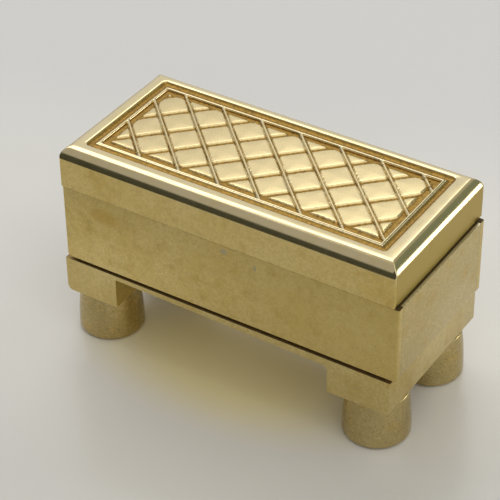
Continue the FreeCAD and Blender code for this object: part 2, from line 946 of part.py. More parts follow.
def write_sub_parts(sub_parts):
    """Check each shape, say how large it is, and write it to its own file."""
    os.makedirs("parts", exist_ok=True)
    for sub_part in sub_parts:
        shape = sub_part.Shape
        if shape.isNull() or not shape.isValid() or not shape.Solids:
            raise RuntimeError(sub_part.Label + " has no valid solid")
        print(f"{sub_part.Label}: {len(shape.Solids)} solid(s), {shape.Volume:.1f} mm3")
    for sub_part in sub_parts:
        sub_part.Shape.exportStep(os.path.join("parts", sub_part.Label + ".step"))
    whole = Part.makeCompound([sub_part.Shape for sub_part in sub_parts])
    box = whole.optimalBoundingBox(False)
    print(f"from {box.XMin:.3f}, {box.YMin:.3f}, {box.ZMin:.3f}")
    print(f"to {box.XMax:.3f}, {box.YMax:.3f}, {box.ZMax:.3f}")


fill_sheet()
pieces = make_all()
doc.recompute()
check_document()
write_sub_parts(pieces)
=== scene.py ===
import math

import bmesh
import bpy
import numpy as np
from mathutils import Matrix, Vector, noise


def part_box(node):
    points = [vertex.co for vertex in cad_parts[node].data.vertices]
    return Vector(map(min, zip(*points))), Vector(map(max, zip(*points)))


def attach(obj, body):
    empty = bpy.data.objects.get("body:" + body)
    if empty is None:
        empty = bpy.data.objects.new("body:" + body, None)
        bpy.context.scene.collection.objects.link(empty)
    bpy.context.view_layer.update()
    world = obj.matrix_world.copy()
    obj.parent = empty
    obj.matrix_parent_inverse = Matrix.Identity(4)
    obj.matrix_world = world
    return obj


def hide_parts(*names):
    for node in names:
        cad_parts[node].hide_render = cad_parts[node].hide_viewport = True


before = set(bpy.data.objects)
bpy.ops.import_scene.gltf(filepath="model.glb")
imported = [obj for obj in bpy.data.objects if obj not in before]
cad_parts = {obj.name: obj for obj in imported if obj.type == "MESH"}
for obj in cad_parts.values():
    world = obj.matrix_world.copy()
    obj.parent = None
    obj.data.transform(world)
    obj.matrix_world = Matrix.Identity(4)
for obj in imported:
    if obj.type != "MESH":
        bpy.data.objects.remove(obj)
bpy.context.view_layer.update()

# A small brass needle case: a box of plates on a bridge-shaped base with four turned feet,
# and a hinged lid with a quilted panel in its top. Lengths are in millimetres up to the
# point where a mesh is made, and in metres from there on.

MM = 0.001


# ---------------------------------------------------------------- places, from the frame


def box_mm(node):
    """Lowest and highest corner of a CAD node, in millimetres."""
    low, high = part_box(node)
    return np.array(low) / MM, np.array(high) / MM


LID_LOW, LID_HIGH = box_mm("lid_casting")
LID_CENTRE = (LID_LOW + LID_HIGH) / 2
LID_HALF = (LID_HIGH - LID_LOW) / 2
LEAF_LOW, LEAF_HIGH = box_mm("lid_hinge_leaf")
PIN_LOW, PIN_HIGH = box_mm("hinge_pin")


# ---------------------------------------------------------------- mesh helpers


def link(name, mesh):
    """A new object with this mesh, in the scene."""
    made = bpy.data.objects.new(name, mesh)
    bpy.context.scene.collection.objects.link(made)
    return made


def mesh_from(name, points_mm, faces):
    """A mesh from points in millimetres."""
    mesh = bpy.data.meshes.new(name)
    mesh.from_pydata((np.asarray(points_mm) * MM).tolist(), [], faces)
    mesh.update()
    return mesh


def smooth(mesh, sharp_deg):
    """Smooth shading with edges sharper than the angle kept."""
    mesh.shade_smooth()
    mesh.set_sharp_from_angle(angle=math.radians(sharp_deg))


def applied(obj):
    """Replaces the object's mesh by what its modifiers make of it."""
    graph = bpy.context.evaluated_depsgraph_get()
    made = bpy.data.meshes.new_from_object(obj.evaluated_get(graph))
    obj.modifiers.clear()
    obj.data = made


def cut_away(obj, cutter_mesh, name):
    """Subtracts a closed mesh from the object."""
    cutter = link(name, cutter_mesh)
    step = obj.modifiers.new(name, "BOOLEAN")
    step.operation = "DIFFERENCE"
    step.solver = "EXACT"
    step.object = cutter
    bpy.context.view_layer.update()
    applied(obj)
    bpy.data.objects.remove(cutter)


def block_mesh(name, low, high):
    """A closed box between two corners in millimetres."""
    low, high = np.array(low, float), np.array(high, float)
    points = [
        [(low, high)[k >> axis & 1][axis] for axis in range(3)] for k in range(8)
    ]
    faces = [(0, 2, 3, 1), (4, 5, 7, 6), (0, 1, 5, 4), (2, 6, 7, 3), (0, 4, 6, 2), (1, 3, 7, 5)]
    return mesh_from(name, points, faces)


def rod_mesh(name, start, end, radius, sides=48):
    """A closed cylinder between two points in millimetres."""
    start, end = Vector(start), Vector(end)
    turn = (end - start).to_track_quat("Z", "Y")
    ring = [
        turn @ Vector((radius * math.cos(a), radius * math.sin(a), 0))
        for a in (2 * math.pi * k / sides for k in range(sides))
    ]
    points = [start + p for p in ring] + [end + p for p in ring]
    faces = [(k, (k + 1) % sides, sides + (k + 1) % sides, sides + k) for k in range(sides)]
    faces += [tuple(reversed(range(sides))), tuple(range(sides, 2 * sides))]
    return mesh_from(name, [list(p) for p in points], faces)


# ---------------------------------------------------------------- the lid

CORNER_STEPS = 6  # points on each half of a ring's rounded corner
FIELD_CELLS = (388, 138)  # cells of the quilted field, along and across
FIELD_INSET = 2.3  # from the recess's wall to the quilted field
PANEL_HALF = np.array([24.3, 9.95])
PANEL_SHIFT = np.array([-0.2, 0.35])  # the panel isn't quite in the middle of the lid
FIELD_HALF = PANEL_HALF - FIELD_INSET
PILLOW_INSET = 2.47  # from the recess's wall to the foot of the outer pillows
FIELD_CORNER = 0.55
PANEL_CORNER = 0.55  # radius of the recess's corners
PANEL_SINK = 0.45  # the recess's floor under the lid's top
QUILT_GAP = 6.6 / math.sqrt(2)  # between neighbouring grooves, square to them
QUILT_SHIFT = (0.1, 1.87)  # a crossing of two grooves, from the panel's middle
UP_FOOT = 0.24  # from the middle of a plain groove to the foot of the pillow
DOWN_FOOT = 0.26  # the same where a cord lies in the groove
PILLOW_ROLL = 0.17  # width over which a pillow's side rises
PILLOW_SIDE = 0.25  # height of that side
LIP_DEPTH = 0.055  # a pillow's edge droops by this much over the lip's reach
LIP_REACH = 0.42
LIP_RAGGED = 1.6  # how unevenly that edge droops
PILLOW_DOME = 0.06  # a pillow's crown over its edge
PILLOW_REACH = 2.0  # from a pillow's side to its crown
PILLOW_UNEVEN = 0.008
FOOT_SHARPNESS = 7.0  # higher keeps the pillows' corners crisper
CORD_RADIUS = 0.25
CORD_AXIS = 0.13  # height of a cord's axis over the recess's floor
CORD_FADE = 0.12  # width over which a cord ends at the rib
RIB_MIDDLE = 1.35  # the framing rib, from the recess's wall
RIB_HALF = 0.23
RIB_HEIGHT = 0.38
RIB_SQUARENESS = 3  # 2 is a round section; higher is flatter on top
CHANNEL_MIDDLE = 0.54  # the border channel's lowest line, from the recess's wall
CHANNEL_RISE = 0.26
RAGGED_SCALE = 0.33  # size of the fine unevenness of the panel
SLOW_SCALE = 3.1  # size of its broad unevenness
LID_CORNER = 0.25
LID_WALL = 1.0
LID_ROOF = 1.6
LIP_DROP = 0.2  # the front of the lid closes almost onto the box
LOW_ROUND = 0.1  # rounding of the lid's bottom edge
LOW_ROUND_FRONT = 0.07  # the same at the front
SECTION_STEPS = 16  # rings on the rounding of the lid's top edge
INSIDE = 0.9999  # keeps the outermost rings within the lid's own box
HOLLOW_CORNER = 0.3

# Rings of the panel's border, by their distance in from the recess's wall: close together on
# the rib and at the field's edge
BORDER_INSETS = (
    2.18, 2.04, 1.9, 1.76, 1.67, 1.625, 1.59, 1.55, 1.49, 1.42, 1.35, 1.28, 1.21,
    1.15, 1.11, 1.075, 1.03, 0.93, 0.8, 0.67, 0.54, 0.41, 0.28, 0.15, 0.05,
)
# Rings of the recess's worn upper edge: how far out from the wall, and how far down
EDGE_RINGS = ((0.0, 0.13), (0.05, 0.085), (0.12, 0.05), (0.22, 0.028), (0.35, 0.016))

# Room in the lid for the hinge
LEAF_GAP = 0.03
REBATE_DEPTH = 0.5
BARREL_ROOM = 0.97  # radius of the hollow round the knuckles
PIN_END_ROOM = 0.12  # that the hollow reaches beyond each end of the pin
RIVET_STEP = 12
RIVET_HOLE = 0.43

# The rounding along each top edge of the lid: its width, its drop, and the angle at which it
# leaves the upright face, which is a crisp line where that angle is large.
ROUNDINGS = {
    "front": (1.75, 1.85, 12.0),
    "back": (1.45, 1.4, 6.0),
    "left": (1.75, 1.5, 14.0),
    "right": (1.75, 1.28, 25.0),
}


def axis_lines(half, cells, corner):
    """Grid lines from -half to half, with finer cells in the two corner zones."""
    zone = corner * np.arange(CORNER_STEPS) / CORNER_STEPS
    middle = np.linspace(-half + corner, half - corner, cells - 2 * CORNER_STEPS + 1)
    return np.concatenate([-half + zone, middle, half - zone[::-1]])


def ring_points(rect, corner, cells, steps):
    """A rounded rectangle (x0, x1, y0, y1) as cells[0] + cells[1] points twice over, from its
    corner at the lowest x and y, and the outward direction at each point."""
    x0, x1, y0, y1 = rect
    corners = [
        np.array([x0 + corner, y0 + corner]),
        np.array([x1 - corner, y0 + corner]),
        np.array([x1 - corner, y1 - corner]),
        np.array([x0 + corner, y1 - corner]),
    ]
    eighth = math.pi / 4
    points, outward = [], []
    for side in range(4):
        count = cells[side % 2]
        base = math.radians(225 + 90 * side)
        for k in range(count):
            if k <= steps:
                centre, turn = corners[side], base + eighth * k / steps
            elif k >= count - steps:
                centre = corners[(side + 1) % 4]
                turn = base + eighth + eighth * (k - count + steps) / steps
            else:
                share = (k - steps) / (count - 2 * steps)
                centre = corners[side] * (1 - share) + corners[(side + 1) % 4] * share
                turn = base + eighth
            out = np.array([math.cos(turn), math.sin(turn)])
            points.append(centre + corner * out)
            outward.append(out)
    return np.array(points), np.array(outward)


def centred(half, more=0.0):
    """A rectangle about the middle as (x0, x1, y0, y1), grown by a margin."""
    return (-half[0] - more, half[0] + more, -half[1] - more, half[1] + more)


def arc_section(width, drop, leave_deg, share):
    """A point of a rounding's section, from the flat top (share 0) to the upright face (1):
    how far out and how far down it lies."""
    low, high = 0.0, math.radians(80)
    for _ in range(40):
        middle = (low + high) / 2
        slope = math.tan(middle) * (width / math.cos(middle)) * (1 - math.sin(middle)) / drop
        low, high = (middle, high) if slope < math.tan(math.radians(leave_deg)) else (low, middle)
    turn = math.pi / 2 + (low - math.pi / 2) * share
    across = width / math.cos(low)
    upright = drop / (1 - math.sin(low))
    return across * math.cos(turn), upright * (1 - math.sin(turn))


def wall_distance(x, y):
    """Distance inwards from the recess's wall."""
    qx = np.abs(x) - (PANEL_HALF[0] - PANEL_CORNER)
    qy = np.abs(y) - (PANEL_HALF[1] - PANEL_CORNER)
    outside = np.hypot(np.maximum(qx, 0), np.maximum(qy, 0))
    return PANEL_CORNER - outside - np.minimum(np.maximum(qx, qy), 0)


def wobble(x, y, scale, seed):
    """Smooth noise about 0, one value for each point."""
    return np.array(
        [noise.noise(Vector((a / scale, b / scale, seed))) for a, b in zip(x.ravel(), y.ravel())]
    ).reshape(np.shape(x))


def panel_height(x, y):
    """Height over the recess's floor: border groove, rib, cords and pillows."""
    d = wall_distance(x, y)
    ragged = wobble(x, y, RAGGED_SCALE, 3.0)
    slow = wobble(x, y, SLOW_SCALE, 8.0)
    u = x - QUILT_SHIFT[0]
    v = y - QUILT_SHIFT[1]
    up = (u - v) / math.sqrt(2)
    down = (u + v) / math.sqrt(2)
    up = np.abs(up - QUILT_GAP * np.round(up / QUILT_GAP))
    down = np.abs(down - QUILT_GAP * np.round(down / QUILT_GAP))
    edge = d - PILLOW_INSET

    def from_edge(roughness):
        """Distance from the nearest groove or border, its corners rounded off."""
        parts = (up - UP_FOOT + roughness, down - DOWN_FOOT + 0.4 * roughness, edge + roughness)
        return -np.log(sum(np.exp(-FOOT_SHARPNESS * part) for part in parts)) / FOOT_SHARPNESS

    t = np.clip(from_edge(0.09 * ragged) / PILLOW_ROLL, 0, 1)
    side = np.sqrt(np.maximum(1 - (1 - t) ** 2, 0))
    lip = 1 - (1 - np.clip(from_edge(0.06 * ragged) / LIP_REACH, 0, 1)) ** 2
    dome = 1 - (1 - np.clip(from_edge(0.0) / PILLOW_REACH, 0, 1)) ** 2
    pillow = PILLOW_SIDE * side
    pillow = pillow + LIP_DEPTH * (lip + LIP_RAGGED * ragged * lip * (1 - lip))
    pillow = pillow + PILLOW_DOME * dome + PILLOW_UNEVEN * slow * side

    inside = np.clip((d - RIB_MIDDLE) / CORD_FADE, 0, 1)
    section = np.sqrt(np.maximum(CORD_RADIUS ** 2 - down ** 2, 0))
    cord = (CORD_AXIS + 0.014 * ragged + section) * (section > 0) * inside

    across_rib = np.abs((d - RIB_MIDDLE) / RIB_HALF)
    rib = RIB_HEIGHT * np.sqrt(np.maximum(1 - across_rib ** RIB_SQUARENESS, 0))
    channel = np.abs((d - CHANNEL_MIDDLE) / CHANNEL_MIDDLE) ** 2.2 * (d < RIB_MIDDLE)
    channel = CHANNEL_RISE * np.minimum(channel, 1)
    base = 0.016 * (1 + ragged) + 0.02 * np.clip(edge / 0.3 + 0.5, 0, 1)
    return np.maximum.reduce([pillow, cord, rib, channel + base])


def field_points():
    """The quilted field's grid as (x, y), with its corners rounded."""
    nx, ny = FIELD_CELLS
    xs = axis_lines(FIELD_HALF[0], nx, FIELD_CORNER)
    ys = axis_lines(FIELD_HALF[1], ny, FIELD_CORNER)
    x, y = np.meshgrid(xs, ys, indexing="ij")
    i, j = np.meshgrid(np.arange(nx + 1), np.arange(ny + 1), indexing="ij")
    a = np.clip((CORNER_STEPS - np.minimum(i, nx - i)) / CORNER_STEPS, 0, 1)
    b = np.clip((CORNER_STEPS - np.minimum(j, ny - j)) / CORNER_STEPS, 0, 1)
    both = (a > 0) & (b > 0)
    far = np.maximum(a, b)
    near = np.minimum(a, b)
    turn = math.pi / 4 * near / np.where(far > 0, far, 1)
    turn = np.where(a >= b, turn, math.pi / 2 - turn)
    cx = np.sign(x) * (FIELD_HALF[0] - FIELD_CORNER)
    cy = np.sign(y) * (FIELD_HALF[1] - FIELD_CORNER)
    x = np.where(both, cx + np.sign(x) * FIELD_CORNER * far * np.cos(turn), x)
    y = np.where(both, cy + np.sign(y) * FIELD_CORNER * far * np.sin(turn), y)
    return x, y


def bridge(faces, inner, outer):
    """Faces between two rings of point numbers; the outer may have half as many."""
    n = len(inner)
    if len(outer) == n:
        for k in range(n):
            m = (k + 1) % n
            faces.append((inner[m], inner[k], outer[k], outer[m]))
        return
    for k in range(len(outer)):
        m = (k + 1) % len(outer)
        a, b, c = inner[2 * k], inner[2 * k + 1], inner[(2 * k + 2) % n]
        faces.append((b, a, outer[k]))
        faces.append((b, outer[k], outer[m]))
        faces.append((c, b, outer[m]))


def lid_mesh():
    """The whole lid as one closed surface, from the quilting outwards, round and up inside."""
    nx, ny = FIELD_CELLS
    x, y = field_points()
    top = LID_HALF[2] * 2
    floor = top - PANEL_SINK
    shifted = (x + PANEL_SHIFT[0], y + PANEL_SHIFT[1], floor + panel_height(x, y))
    points = [np.stack(shifted, axis=-1).reshape(-1, 3)]
    number = np.arange((nx + 1) * (ny + 1)).reshape(nx + 1, ny + 1)
    faces = [
        (number[i, j], number[i + 1, j], number[i + 1, j + 1], number[i, j + 1])
        for i in range(nx)
        for j in range(ny)
    ]
    ring = list(number[:-1, 0]) + list(number[-1, :-1])
    ring += list(number[:0:-1, -1]) + list(number[0, :0:-1])
    total = number.size

    def add_ring(flat, z):
        nonlocal total, ring
        count = len(flat)
        height = np.broadcast_to(z, (count,))
        points.append(np.column_stack([flat, height]))
        new = list(range(total, total + count))
        bridge(faces, ring, new)
        ring = new
        total += count

    fine, coarse = FIELD_CELLS, (nx // 2, ny // 2)
    for d in BORDER_INSETS:
        corner = max(PANEL_CORNER - d, 0.12) if d > 0.4 else PANEL_CORNER
        flat, _ = ring_points(centred(PANEL_HALF, -d), corner, fine, CORNER_STEPS)
        add_ring(flat + PANEL_SHIFT, floor + panel_height(flat[:, 0], flat[:, 1]))
    for out, down in EDGE_RINGS:
        flat, _ = ring_points(centred(PANEL_HALF, out), PANEL_CORNER + out, fine, CORNER_STEPS)
        edge = 0.012 * wobble(flat[:, 0], flat[:, 1], 1.7, 5.0)
        add_ring(flat + PANEL_SHIFT, top - down + np.minimum(edge, 0))

    steps = CORNER_STEPS // 2
    half = LID_HALF[:2]

    def rounding_ring(share):
        """The ring at one share of the four roundings: its flat points and their heights."""
        left, right, front, back = (
            arc_section(*ROUNDINGS[side], share) for side in ("left", "right", "front", "back")
        )
        widths = [ROUNDINGS[side][0] for side in ("left", "right", "front", "back")]
        rect = (
            -half[0] + widths[0] - left[0],
            half[0] - widths[1] + right[0],
            -half[1] + widths[2] - front[0],
            half[1] - widths[3] + back[0],
        )
        flat, out = ring_points(rect, LID_CORNER * (0.6 + 0.4 * share), coarse, steps)
        ends = np.where(out[:, 0] < 0, left[1], right[1])
        sides = np.where(out[:, 1] < 0, front[1], back[1])
        return flat, ends * out[:, 0] ** 2 + sides * out[:, 1] ** 2

    start, _ = rounding_ring(0.0)
    last_out = EDGE_RINGS[-1][0]
    inner, _ = ring_points(centred(PANEL_HALF, last_out), PANEL_CORNER + last_out, coarse, steps)
    inner = inner + PANEL_SHIFT
    for share, down in ((0.0, 0.016), (0.4, 0.003), (0.75, 0.001)):
        add_ring(inner * (1 - share) + start * share, top - down)
    for k in range(SECTION_STEPS + 1):
        share = k / SECTION_STEPS
        flat, down = rounding_ring(share)
        sway = 0.02 * (wobble(flat[:, 0], flat[:, 1], 4.5, 2.0 + 0.3 * share) - 0.6)
        sway = sway * math.sin(math.pi * min(share + 0.1, 1.0))
        inward = 1 + sway[:, None] / np.hypot(half[0], half[1])
        add_ring(flat * inward * INSIDE, top - down - 0.003 + sway * 0.5)
    face, down = rounding_ring(1.0)
    for more in (0.05, 0.14):
        add_ring(face * INSIDE, top - down - 0.002 - more)

    outer, out = ring_points(centred(half), LID_CORNER, coarse, steps)
    outer = outer * INSIDE
    front = np.clip(-out[:, 1], 0, 1)
    low_round = LOW_ROUND - (LOW_ROUND - LOW_ROUND_FRONT) * front
    lip = -LIP_DROP * front
    for z in (3.2, 2.2, 1.1, 0.5):
        add_ring(outer, z)
    add_ring(outer, lip + low_round + 0.04)
    for k in range(5):
        turn = math.pi / 2 * k / 4
        inset = low_round * (1 - math.cos(turn))
        add_ring(outer - out * inset[:, None], lip + low_round * (1 - math.sin(turn)))
    hollow = half - LID_WALL
    add_ring(ring_points(centred(hollow, 0.1), 0.4, coarse, steps)[0], lip)
    roof = top - LID_ROOF
    for inset, z in ((0, lip + 0.1), (0, 1.2), (0, 2.6), (0, roof - 0.3), (0.09, roof - 0.09),
                     (0.3, roof)):
        wall, _ = ring_points(centred(hollow, -inset), HOLLOW_CORNER, coarse, steps)
        add_ring(wall, z)
    faces.append(tuple(reversed(ring)))

    points = np.concatenate(points)
    points[:, :2] += LID_CENTRE[:2]
    points[:, 2] += LID_LOW[2]
    return mesh_from("lid_shell", points, [tuple(int(n) for n in f) for f in faces])


def make_lid():
    """The lid with the hinge leaf's rebate, the barrel's hollow and the rivet holes cut out."""
    lid = link("lid_shell", lid_mesh())
    low = (LEAF_LOW[0] - LEAF_GAP, LID_HIGH[1] - REBATE_DEPTH, LID_LOW[2] - 1)
    high = (LEAF_HIGH[0] + LEAF_GAP, LID_HIGH[1] + 1, LEAF_HIGH[2] + 0.01)
    cut_away(lid, block_mesh("leaf_rebate", low, high), "leaf_rebate")
    _, axis_y, axis_z = (PIN_LOW + PIN_HIGH) / 2
    start = (PIN_LOW[0] - PIN_END_ROOM, axis_y, axis_z)
    end = (PIN_HIGH[0] + PIN_END_ROOM, axis_y, axis_z)
    barrel = rod_mesh("barrel_hollow", start, end, BARREL_ROOM)
    cut_away(lid, barrel, "barrel_hollow")
    rivets_low, rivets_high = box_mm("lid_leaf_rivets")
    middle = (rivets_low + rivets_high) / 2
    for step in (-1, 0, 1):
        at = (middle[0] + RIVET_STEP * step, LID_HIGH[1] - 2, middle[2])
        to = (middle[0] + RIVET_STEP * step, LID_HIGH[1] + 1, middle[2])
        cut_away(lid, rod_mesh("rivet_hole", at, to, RIVET_HOLE, 24), "rivet_hole")
    mark_lid(lid.data)
    smooth(lid.data, 50)
    return lid


BORDER_DIRT = 2.6  # the border channel counts as this much deeper, so it holds more dirt


def mark_lid(mesh):
    """Point attributes for the lid's material: how deep a point lies in the panel, what is
    hidden inside the lid, what is quilted, and what is near enough to the top to be polished."""
    co = np.zeros(len(mesh.vertices) * 3)
    mesh.vertices.foreach_get("co", co)
    co = co.reshape(-1, 3) / MM
    local = co - np.array([LID_CENTRE[0], LID_CENTRE[1], LID_HIGH[2]])
    across = local[:, 0] - PANEL_SHIFT[0]
    along = local[:, 1] - PANEL_SHIFT[1]
    in_panel = (np.abs(across) < PANEL_HALF[0] + 0.1) & (
        np.abs(along) < PANEL_HALF[1] + 0.1
    ) & (local[:, 2] > -PANEL_SINK - 0.05)
    inward = wall_distance(across, along)
    steep = np.where(inward < RIB_MIDDLE - RIB_HALF - 0.1, BORDER_DIRT, 1.0)
    depth = np.clip(-local[:, 2] / PANEL_SINK * steep, 0, 1) * in_panel
    hidden = (np.abs(local[:, 0]) < LID_HALF[0] - LID_WALL + 0.05) & (
        np.abs(local[:, 1]) < LID_HALF[1] - LID_WALL + 0.05
    ) & (local[:, 2] < -LID_ROOF + 0.05)
    quilt = in_panel & (inward > FIELD_INSET)
    crown = np.clip((local[:, 2] + 2.0) / 0.5, 0, 1)
    named = (("depth", depth), ("hidden", hidden), ("quilt", quilt), ("crown", crown))
    for name, value in named:
        layer = mesh.attributes.new(name, "FLOAT", "POINT")
        layer.data.foreach_set("value", value.astype(np.float32))


# ---------------------------------------------------------------- box plates and base


BEVEL_SEGMENTS = 3
TURNED_SIDES = 128


def softened(name, node, width, chosen):
    """A copy of a CAD node's shape with the chosen sharp edges rounded off."""
    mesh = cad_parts[node].data.copy()
    mesh.name = name
    mesh.materials.clear()
    work = bmesh.new()
    work.from_mesh(mesh)
    bmesh.ops.remove_doubles(work, verts=work.verts, dist=2e-6)
    bmesh.ops.dissolve_limit(
        work, angle_limit=math.radians(1.0), verts=work.verts, edges=work.edges
    )
    edges = [
        e
        for e in work.edges
        if len(e.link_faces) == 2
        and e.calc_face_angle() > math.radians(50)
        and chosen(e.verts[0].co / MM, e.verts[1].co / MM)
    ]
    bmesh.ops.bevel(
        work,
        geom=edges,
        offset=width * MM,
        offset_type="OFFSET",
        segments=BEVEL_SEGMENTS,
        profile=0.5,
        affect="EDGES",
        clamp_overlap=True,
    )
    work.normal_update()
    work.to_mesh(mesh)
    work.free()
    for layer in [a for a in mesh.attributes if a.name == "custom_normal"]:
        mesh.attributes.remove(layer)
    smooth(mesh, 28)
    return link(name, mesh)


def lathe(name, profile, centre):
    """A closed turned piece from (radius, height) pairs, the first and last on the axis."""
    sides = TURNED_SIDES
    points = [[centre[0], centre[1], profile[0][1]]]
    for radius, z in profile[1:-1]:
        for k in range(sides):
            a = 2 * math.pi * k / sides
            points.append([centre[0] + radius * math.cos(a), centre[1] + radius * math.sin(a), z])
    points.append([centre[0], centre[1], profile[-1][1]])
    rings = len(profile) - 2
    faces = []
    for k in range(sides):
        m = (k + 1) % sides
        faces.append((0, 1 + m, 1 + k))
        for r in range(rings - 1):
            a, b = 1 + r * sides, 1 + (r + 1) * sides
            faces.append((a + k, a + m, b + m, b + k))
        last = 1 + (rings - 1) * sides
        faces.append((last + k, last + m, len(points) - 1))
    mesh = mesh_from(name, points, faces)
    smooth(mesh, 40)
    return link(name, mesh)


FOOT_TOP = 4.25  # the foot's radius under its upper rounding, before the side's bulge
FOOT_LOW_ROUND = 0.7
FOOT_TOP_ROUND = 0.35
FOOT_SIDE = 46.0  # radius of the foot's bulging side
FOOT_RADIUS_TRIM = 0.003  # keeps the foot within the CAD foot's own box
TENON_RADIUS = 1.6


def foot_profile(height, top, low_radius, tenon_top):
    """The bell foot's outline from the floor up to the top of its tenon."""
    pairs = [(0.0, 0.0), (low_radius - 1.6, 0.0), (low_radius - 0.75, 0.02)]
    for k in range(1, 9):
        turn = math.pi / 2 * k / 8
        inset = FOOT_LOW_ROUND * (1 - math.sin(turn))
        pairs.append((low_radius - inset, FOOT_LOW_ROUND * (1 - math.cos(turn))))
    rise = height - FOOT_TOP_ROUND - FOOT_LOW_ROUND
    for k in range(1, 13):
        share = k / 12
        bulge = FOOT_SIDE - math.sqrt(FOOT_SIDE ** 2 - (share * rise) ** 2)
        straight = (low_radius - top) * share
        drop = max(bulge, 0.75 * straight * share)
        pairs.append((low_radius - drop, FOOT_LOW_ROUND + share * rise))
    last = pairs[-1][0]
    shoulder = height - FOOT_TOP_ROUND
    for k in range(1, 6):
        turn = math.pi / 2 * k / 5
        inset = FOOT_TOP_ROUND * (1 - math.cos(turn))
        pairs.append((last - inset, shoulder + FOOT_TOP_ROUND * math.sin(turn)))
    pairs += [(TENON_RADIUS + 0.04, height), (TENON_RADIUS, height + 0.04)]
    pairs += [(TENON_RADIUS, tenon_top - 0.1), (TENON_RADIUS - 0.1, tenon_top)]
    return pairs + [(0.0, tenon_top)]


# ---------------------------------------------------------------- materials


class Nodes:
    """Short ways to add nodes to a shader tree."""

    def __init__(self, tree):
        self.tree = tree
        self.place = tree.nodes.new("ShaderNodeTexCoord")

    def put(self, socket, value):
        """Links a socket to the input, or sets the input to a number, colour or vector."""
        if isinstance(value, bpy.types.NodeSocket):
            self.tree.links.new(value, socket)
        else:
            socket.default_value = value

    def ramp(self, value, low, high, start=0.0, end=1.0):
        """A smooth step from start, at low, to end, at high."""
        node = self.tree.nodes.new("ShaderNodeMapRange")
        node.interpolation_type = "SMOOTHSTEP"
        self.put(node.inputs["Value"], value)
        for key, number in (("From Min", low), ("From Max", high), ("To Min", start), ("To Max", end)):
            self.put(node.inputs[key], number)
        return node.outputs["Result"]

    def math(self, operation, *values):
        node = self.tree.nodes.new("ShaderNodeMath")
        node.operation = operation
        for socket, value in zip(node.inputs, values):
            self.put(socket, value)
        return node.outputs["Value"]

    def vector(self, operation, a, b):
        """A vector operation whose result is a single number."""
        node = self.tree.nodes.new("ShaderNodeVectorMath")
        node.operation = operation
        self.put(node.inputs[0], a)
        self.put(node.inputs[1], b)
        return node.outputs["Value"]

    def mix(self, share, a, b):
        """Colour a where the share is 0, b where it is 1."""
        node = self.tree.nodes.new("ShaderNodeMix")
        node.data_type = "RGBA"
        self.put(node.inputs["Factor"], share)
        self.put(node.inputs["A"], a if not isinstance(a, tuple) else a + (1,))
        self.put(node.inputs["B"], b if not isinstance(b, tuple) else b + (1,))
        return node.outputs["Result"]

    def split(self, vector):
        """The X, Y and Z outputs of a vector."""
        node = self.tree.nodes.new("ShaderNodeSeparateXYZ")
        self.put(node.inputs["Vector"], vector)
        return node.outputs


class Look(Nodes):
    """A material under construction, with its patterns laid out in object millimetres."""

    def __init__(self, name):
        self.material = bpy.data.materials.new(name)
        self.material.use_nodes = True
        super().__init__(self.material.node_tree)
        self.shader = self.tree.nodes["Principled BSDF"]
        self.mm = self.scaled(self.place.outputs["Object"], (1 / MM,) * 3)

    def set(self, key, value):
        self.put(self.shader.inputs[key], value)

    def now(self, key):
        """What already feeds one of the shader's inputs."""
        return self.shader.inputs[key].links[0].from_socket

    def scaled(self, vector, scale):
        node = self.tree.nodes.new("ShaderNodeMapping")
        self.put(node.inputs["Vector"], vector)
        node.inputs["Scale"].default_value = scale
        return node.outputs["Vector"]

    def noise(self, scale, detail=3.0, rough=0.55, vector=None, shift=0.0):
        node = self.tree.nodes.new("ShaderNodeTexNoise")
        node.noise_dimensions = "4D"
        node.inputs["W"].default_value = shift
        self.put(node.inputs["Vector"], vector or self.mm)
        node.inputs["Scale"].default_value = scale
        node.inputs["Detail"].default_value = detail
        node.inputs["Roughness"].default_value = rough
        return node.outputs["Fac"]

    def attribute(self, name):
        node = self.tree.nodes.new("ShaderNodeAttribute")
        node.attribute_name = name
        return node.outputs["Fac"]

    def bump(self, height_mm, before=None):
        node = self.tree.nodes.new("ShaderNodeBump")
        node.inputs["Distance"].default_value = MM
        self.put(node.inputs["Height"], height_mm)
        if before is not None:
            self.put(node.inputs["Normal"], before)
        return node.outputs["Normal"]


WORN = (0.84, 0.7, 0.41)
PALE = (0.75, 0.59, 0.24)
GOLD = (0.69, 0.515, 0.17)
AMBER = (0.57, 0.38, 0.1)
GROOVE_BROWN = (0.41, 0.24, 0.045)
GROOVE_DARK = (0.25, 0.15, 0.033)
# LEDGE_SHADE and BASE_LEDGE_SHADE are painted shade for ledges that sit under the lid or the box;
# RUBBED_HIGHLIGHT is a worn edge with a painted highlight
LEDGE_SHADE = (0.09, 0.06, 0.022)
BASE_LEDGE_SHADE = (0.3, 0.2, 0.07)
RUBBED_HIGHLIGHT = (0.93, 0.84, 0.62)
OLIVE = (0.5, 0.42, 0.2)
UMBER = (0.3, 0.2, 0.08)
FRONT_DULL = (0.6, 0.46, 0.16)
FRONT_DARK = (0.5, 0.35, 0.1)
FRONT_LIGHT = (0.74, 0.6, 0.28)
RIM_DULL = (0.8, 0.64, 0.3)
# the pillows' satin brass, with painted shade darker towards the left and lighter towards the right
SATIN_SHADED_LEFT = (0.72, 0.57, 0.29)
SATIN_LIT_RIGHT = (0.82, 0.66, 0.34)
# painted shade for the lid's right end face
LID_END_SHADE = (0.485, 0.35, 0.072)
BRUSHED = (0.45, 0.31, 0.12)

# Spots on the long plates: centre and reach as (x, z), colour, strength
FRONT_SPOTS = (
    ((-19.5, 23.3), (4.5, 2.0), (0.57, 0.36, 0.08), 0.55),
    ((0.6, 25.2), (1.0, 0.7), (0.42, 0.41, 0.33), 0.6),
    ((5.6, 24.3), (0.35, 0.9), (0.36, 0.35, 0.3), 0.65),
)

# Heights above which level ledges get painted shade, and how far out that painted shade reaches on the
# box's ends
BOX_LEDGE = 25.9
BASE_LEDGE = 13.0
END_SHADE_REACH = 27.66


